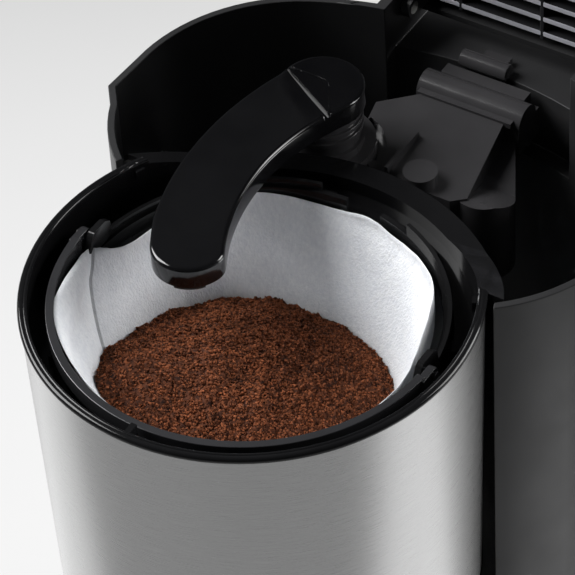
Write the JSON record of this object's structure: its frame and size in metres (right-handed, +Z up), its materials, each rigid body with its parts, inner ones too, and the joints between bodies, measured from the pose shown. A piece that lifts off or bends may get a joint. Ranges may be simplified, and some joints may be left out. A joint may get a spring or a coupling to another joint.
{
  "type": "drip coffee maker",
  "caption": "Drip coffee maker with a hinged lid, a swivelling spout arm over a drum with a paper-lined basket, a rear water tank and a glass carafe on a warming plate.",
  "frame": {"origin": "on the table, under the axis of the filter drum", "axes": "+Z up, front of the machine faces -Y, +X to the right seen from the front"},
  "size_m": [0.192, 0.2902, 0.5533],
  "materials": {
    "black_plastic": "satin moulded black",
    "liner_plastic": "semi-gloss moulded black",
    "basket_plastic": "semi-gloss moulded black",
    "bail_plastic": "satin moulded black",
    "gloss_black": "polished moulded black",
    "switch_plastic": "moulded black",
    "lid_inner": "satin moulded dark grey",
    "white_plastic": "natural white",
    "red_plastic": "red",
    "clear_plastic": "clear",
    "carafe_glass": "clear blown glass",
    "brushed_steel": "brushed round the drum",
    "band_steel": "polished band",
    "zinc_steel": "zinc plated",
    "heater_aluminium": "drawn tube",
    "plate_black": "black non-stick coating",
    "rubber": "moulded",
    "silicone": "translucent silicone",
    "filter_paper": "white crimped paper",
    "coffee": "loose ground coffee"
  },
  "bodies": {
    "machine": {"base_shell": "black_plastic", "bottom_plate": "black_plastic", "base_screws": "zinc_steel", "rubber_feet": "rubber", "hot_plate": "plate_black", "plate_seal": "silicone", "heater": "heater_aluminium", "cold_hose": "silicone", "check_valve": "white_plastic", "hot_hose": "silicone", "cord_inlet": "rubber", "switch_bezel": "gloss_black", "rocker_pin": "zinc_steel", "column_housing": "black_plastic", "water_gauge": "clear_plastic", "tank_strainer": "black_plastic", "steel_skin": "brushed_steel", "drum_liner": "liner_plastic", "drum_ring": "liner_plastic", "filter_basket": "basket_plastic", "valve_spring": "zinc_steel", "bail_pins": "bail_plastic", "paper_filter": "filter_paper", "ground_coffee": "coffee", "riser_tube": "silicone", "riser_cover": "gloss_black", "riser_clip": "gloss_black", "pivot_collar": "gloss_black", "hinge_pins": "zinc_steel"},
    "lid": {"lid_shell": "black_plastic", "lid_grille": "lid_inner"},
    "arm": {"spout_arm": "gloss_black", "arm_cap": "gloss_black"},
    "bail": {"basket_bail": "bail_plastic"},
    "valve": {"drip_valve": "basket_plastic", "valve_washer": "silicone"},
    "carafe": {"carafe_glass": "carafe_glass", "carafe_band": "band_steel", "carafe_handle": "black_plastic", "handle_screw": "zinc_steel"},
    "carafe_top": {"carafe_lid": "black_plastic"},
    "rocker": {"switch_rocker": "switch_plastic"},
    "float": {"gauge_float": "red_plastic"}
  },
  "joints": [
    {"name": "lid_hinge", "type": "hinge", "parent": "machine", "child": "lid", "pos_m": [0, 0.1537, 0.3244], "axis": [1, 0, 0], "range_deg": [0, 90]},
    {"name": "arm_swivel", "type": "hinge", "parent": "machine", "child": "arm", "pos_m": [-0.0298, 0.09147, 0.33], "axis": [0, 0, 1], "range_deg": [-4, 95]},
    {"name": "bail_hinge", "type": "hinge", "parent": "machine", "child": "bail", "pos_m": [0, 0, 0.3251], "axis": [1, 0, 0], "range_deg": [-100, 0]},
    {"name": "valve_lift", "type": "slide", "parent": "machine", "child": "valve", "axis": [0, 0, 1], "range_m": [0, 0.0038], "stiffness_N_per_m": 80, "springref_m": -0.004, "deforming": ["valve_spring"]},
    {"name": "carafe_slide", "type": "slide", "parent": "machine", "child": "carafe", "axis": [0, -1, 0], "range_m": [0, 0.18]},
    {"name": "carafe_lid_turn", "type": "hinge", "parent": "carafe", "child": "carafe_top", "pos_m": [0, 0, 0.18], "axis": [0, 0, 1], "range_deg": [0, 45]},
    {"name": "power_rocker", "type": "hinge", "parent": "machine", "child": "rocker", "pos_m": [0, -0.0749, 0.02], "axis": [-1, 0, 0], "range_deg": [0, 16]},
    {"name": "float_rise", "type": "slide", "parent": "machine", "child": "float", "axis": [0, 0, 1], "range_m": [0, 0.194]}
  ]
}
